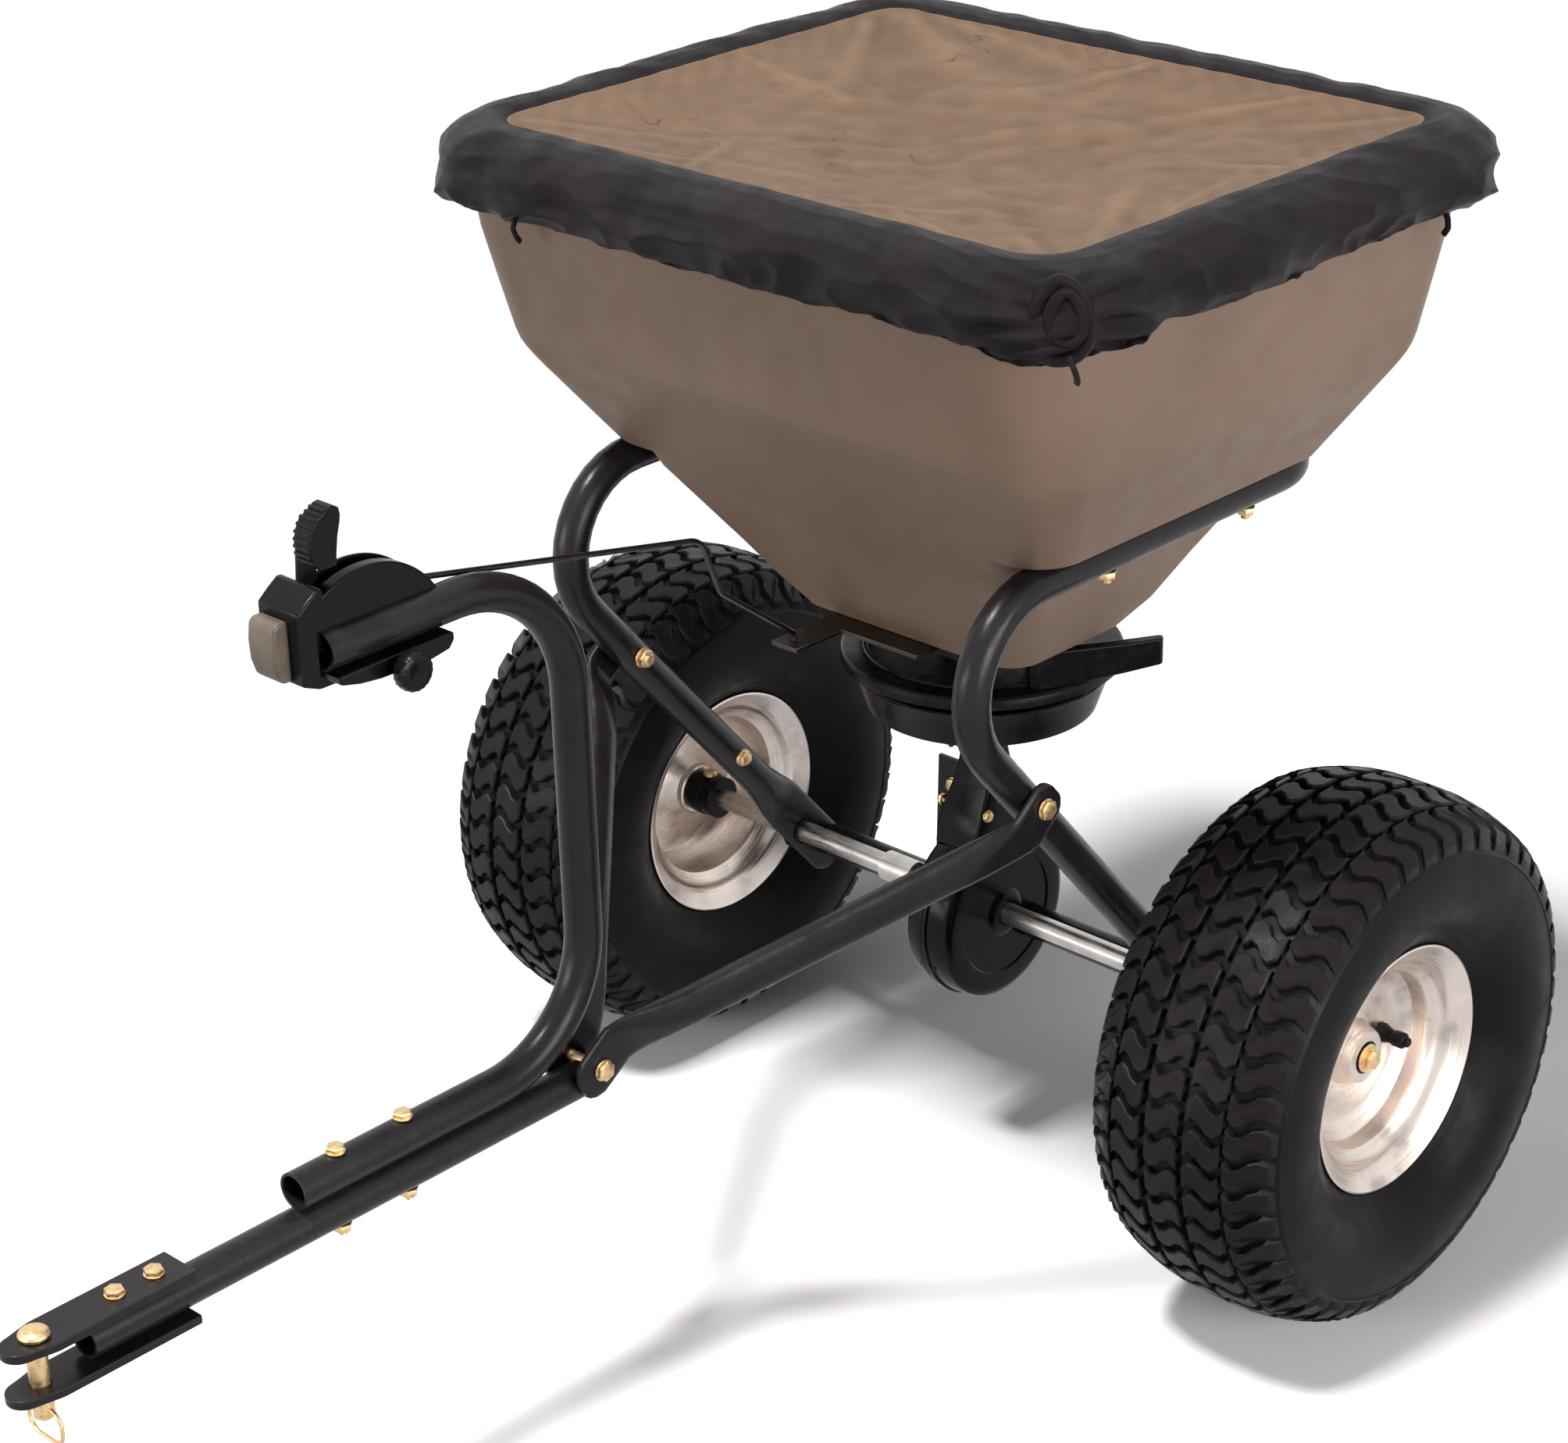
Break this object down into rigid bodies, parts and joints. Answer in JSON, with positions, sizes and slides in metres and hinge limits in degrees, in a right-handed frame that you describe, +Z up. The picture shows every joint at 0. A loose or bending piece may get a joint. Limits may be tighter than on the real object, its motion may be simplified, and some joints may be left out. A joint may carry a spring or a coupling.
{
  "type": "tow_behind_broadcast_spreader",
  "caption": "Tow-behind broadcast spreader with a hopper, cloth rain cover, two turf tyres, a geared spinner, a flow lever and a pin hitch.",
  "frame": {"origin": "on the ground under the middle of the overall box", "axes": "+Z up, -Y towards the hitch, +X towards the free wheel"},
  "size_m": [0.789, 1.102, 0.792],
  "materials": {
    "tube_coat": "charcoal semi-gloss powder coat",
    "zinc_yellow": "yellow zinc plated steel",
    "bright_steel": "ground bright steel",
    "galvanised": "galvanised pressed steel",
    "black_plastic": "black moulded plastic",
    "rubber": "black tyre rubber",
    "hopper_plastic": "grey-brown polyethylene with a fine grain",
    "cover_cloth": "tan coated cloth with a dark nylon hem",
    "cap_tan": "light tan plastic"
  },
  "bodies": {
    "frame": {"hopper": "hopper_plastic", "rain_cover": "cover_cloth", "frame_tube_left": "tube_coat", "frame_tube_right": "tube_coat", "cross_tube_left": "tube_coat", "cross_tube_right": "tube_coat", "brace_left": "tube_coat", "brace_right": "tube_coat", "tongue_tube": "tube_coat", "control_tube": "tube_coat", "hitch_strap_upper": "tube_coat", "hitch_strap_lower": "tube_coat", "hitch_bolt_front": "zinc_yellow", "hitch_bolt_rear": "zinc_yellow", "control_bolt_front": "zinc_yellow", "control_bolt_rear": "zinc_yellow", "brace_tongue_bolt": "zinc_yellow", "brace_bolt_left": "zinc_yellow", "brace_bolt_right": "zinc_yellow", "hopper_bolt_front_left": "zinc_yellow", "hopper_bolt_front_right": "zinc_yellow", "hopper_bolt_rear_left": "zinc_yellow", "hopper_bolt_rear_right": "zinc_yellow", "gear_case_left": "black_plastic", "gear_case_right": "black_plastic", "case_bolt_top": "zinc_yellow", "case_bolt_side": "zinc_yellow", "case_bracket": "tube_coat", "bracket_bolt": "zinc_yellow", "slot_bolt": "zinc_yellow", "shutter_guide": "black_plastic", "spinner_shield": "black_plastic", "flow_head": "black_plastic", "head_front_cap": "cap_tan", "axle_bearing_left": "black_plastic", "axle_bearing_right": "black_plastic"},
    "drive_axle": {"axle": "bright_steel", "crown_gear": "bright_steel", "drive_rim": "galvanised", "drive_tyre": "rubber", "drive_hub_collar": "black_plastic", "drive_pin": "zinc_yellow", "drive_valve_stem": "rubber", "axle_spacer": "bright_steel", "retaining_bolt_left": "zinc_yellow", "retaining_bolt_right": "zinc_yellow"},
    "free_wheel": {"free_rim": "galvanised", "free_tyre": "rubber", "free_valve_stem": "rubber", "free_hub_bushing": "black_plastic"},
    "spinner": {"spinner_shaft": "bright_steel", "pinion": "bright_steel", "spinner_disc": "black_plastic", "agitator": "black_plastic"},
    "flow_lever_arm": {"flow_lever": "black_plastic"},
    "shutter": {"shutter_plate": "bright_steel", "flow_rod": "bright_steel"},
    "stop_knob_body": {"stop_knob": "black_plastic"},
    "hitch_pin_body": {"hitch_pin": "zinc_yellow"},
    "ring_clip_body": {"ring_clip": "zinc_yellow"}
  },
  "joints": [
    {"name": "axle_roll", "type": "hinge", "parent": "frame", "child": "drive_axle", "pos_m": [0, 0.317, 0.1905], "axis": [1, 0, 0], "continuous": true},
    {"name": "free_wheel_roll", "type": "hinge", "parent": "drive_axle", "child": "free_wheel", "pos_m": [0, 0.317, 0.1905], "axis": [1, 0, 0], "continuous": true},
    {"name": "spinner_spin", "type": "hinge", "parent": "frame", "child": "spinner", "pos_m": [0, 0.317, 0.37], "axis": [0, 0, 1], "continuous": true},
    {"name": "lever_swing", "type": "hinge", "parent": "frame", "child": "flow_lever_arm", "pos_m": [-0.015, -0.245, 0.579], "axis": [-1, 0, 0], "range_deg": [0, 50]},
    {"name": "shutter_slide", "type": "slide", "parent": "frame", "child": "shutter", "axis": [0, 1, 0], "range_m": [0, 0.038]},
    {"name": "knob_turn", "type": "hinge", "parent": "frame", "child": "stop_knob_body", "pos_m": [0.0193, -0.228, 0.572], "axis": [1, 0, 0], "range_deg": [-170, 170]},
    {"name": "hitch_pin_turn", "type": "hinge", "parent": "frame", "child": "hitch_pin_body", "pos_m": [0, -0.528, 0.222], "axis": [0, 0, 1], "continuous": true},
    {"name": "ring_clip_swing", "type": "hinge", "parent": "hitch_pin_body", "child": "ring_clip_body", "pos_m": [0, -0.528, 0.1925], "axis": [1, 0, 0], "range_deg": [-80, 80]}
  ],
  "couplings": [
    {"joint": "spinner_spin", "follows": "axle_roll", "ratio": -5},
    {"joint": "shutter_slide", "follows": "lever_swing", "m_per_rad": 0.04354}
  ]
}
